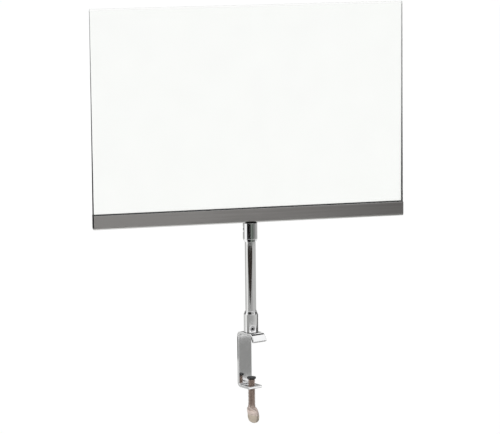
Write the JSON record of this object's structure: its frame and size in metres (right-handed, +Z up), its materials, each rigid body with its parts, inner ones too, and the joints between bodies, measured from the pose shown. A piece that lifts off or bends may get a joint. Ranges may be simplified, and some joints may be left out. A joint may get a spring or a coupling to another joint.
{
  "type": "clamp-on rail sign holder",
  "caption": "Clear folded sign sleeve in a metal channel, on a short swivelling chrome stem with a C-shaped rail clamp tightened by a thumb screw",
  "frame": {"origin": "on the stem's axis, at the underside of the clamp's top jaw, where it rests on the rail", "axes": "+Z is up along the stem; +X runs along the sign to the right of someone who reads it; -Y points from the sign to the reader"},
  "size_m": [0.2794, 0.0286, 0.3705],
  "materials": {
    "clamp_chrome": "bright chrome plate",
    "stem_chrome": "bright chrome plate",
    "screw_steel": "bright steel",
    "channel_metal": "satin grey",
    "clear_acrylic": "clear polished acrylic sheet",
    "pad_plastic": "moulded black",
    "screw_nickel": "dull nickel plate"
  },
  "bodies": {
    "clamp": {"clamp_strip": "clamp_chrome", "clamp_stud": "stem_chrome"},
    "stem": {"lower_collar": "stem_chrome", "lower_set_screw": "screw_steel", "stem_tube": "stem_chrome", "upper_collar": "stem_chrome", "upper_set_screw": "screw_steel"},
    "sign": {"channel_stud": "stem_chrome", "channel": "channel_metal"},
    "sleeve": {"acrylic_sleeve": "clear_acrylic"},
    "pad": {"pressure_pad": "pad_plastic"},
    "screw": {"thumb_screw": "screw_nickel"}
  },
  "joints": [
    {"name": "stem_swivel", "type": "hinge", "parent": "clamp", "child": "stem", "pos_m": [0, 0, 0.006], "axis": [0, 0, 1], "continuous": true},
    {"name": "sign_swivel", "type": "hinge", "parent": "stem", "child": "sign", "pos_m": [0, 0, 0.0955], "axis": [0, 0, 1], "continuous": true},
    {"name": "sleeve_lift", "type": "slide", "parent": "sign", "child": "sleeve", "axis": [0, 0, 1], "range_m": [0, 0.0125]},
    {"name": "screw_travel", "type": "slide", "parent": "clamp", "child": "pad", "axis": [0, 0, 1], "range_m": [-0.0055, 0.017]},
    {"name": "thumb_screw_turn", "type": "hinge", "parent": "pad", "child": "screw", "pos_m": [0, 0, -0.045], "axis": [0, 0, 1], "range_deg": [-1560, 4820]}
  ],
  "couplings": [
    {"joint": "thumb_screw_turn", "follows": "screw_travel", "rad_per_m": 4947.4}
  ]
}
